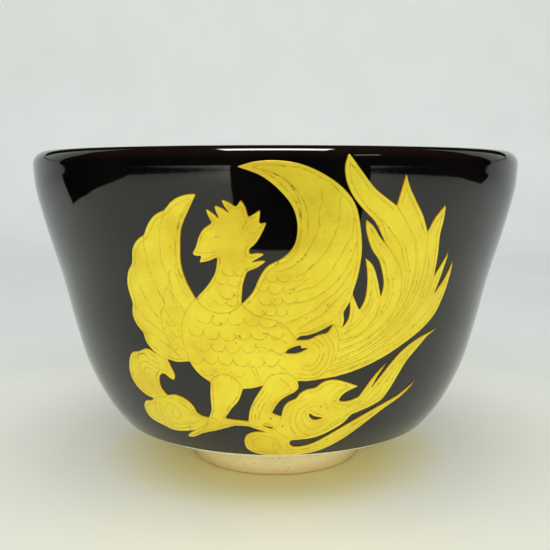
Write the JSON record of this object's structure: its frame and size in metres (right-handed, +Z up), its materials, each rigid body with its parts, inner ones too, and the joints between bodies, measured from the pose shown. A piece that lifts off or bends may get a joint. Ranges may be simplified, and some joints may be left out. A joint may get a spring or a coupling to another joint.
{
  "type": "tea bowl",
  "caption": "Footed ceramic tea bowl, glossy black glaze inside and out, with a raised gold phoenix over clouds painted on its front.",
  "frame": {"origin": "centre of the foot's resting face, at the bottom of the part", "axes": "+Z up along the bowl's turning axis; the gold phoenix faces -Y, its head towards -X and its tail towards +X"},
  "size_m": [0.1202, 0.1208, 0.0781],
  "materials": {
    "clay": "bare fired stoneware, cream, fine turning lines",
    "foot_clay": "bare fired stoneware, cream to pale orange-brown, matt",
    "black_glaze": "deep glossy black glaze",
    "gold_enamel": "satin yellow gold enamel with fine scratched brown lines"
  },
  "bodies": {
    "root": {"clay_body": "clay", "foot_ring": "foot_clay", "glaze_outer": "black_glaze", "glaze_inner": "black_glaze", "gold_near_wing": "gold_enamel", "gold_head_and_neck": "gold_enamel", "gold_far_wing": "gold_enamel", "gold_breast": "gold_enamel", "gold_tail_plume_1": "gold_enamel", "gold_tail_plume_2": "gold_enamel", "gold_tail_plume_3": "gold_enamel", "gold_tail_plume_4": "gold_enamel", "gold_tail_plume_5": "gold_enamel", "gold_tail_plume_6": "gold_enamel", "gold_left_leg": "gold_enamel", "gold_right_leg": "gold_enamel", "gold_cloud_upper_left": "gold_enamel", "gold_cloud_lower_left": "gold_enamel", "gold_cloud_right": "gold_enamel", "gold_cloud_low": "gold_enamel"}
  },
  "joints": []
}
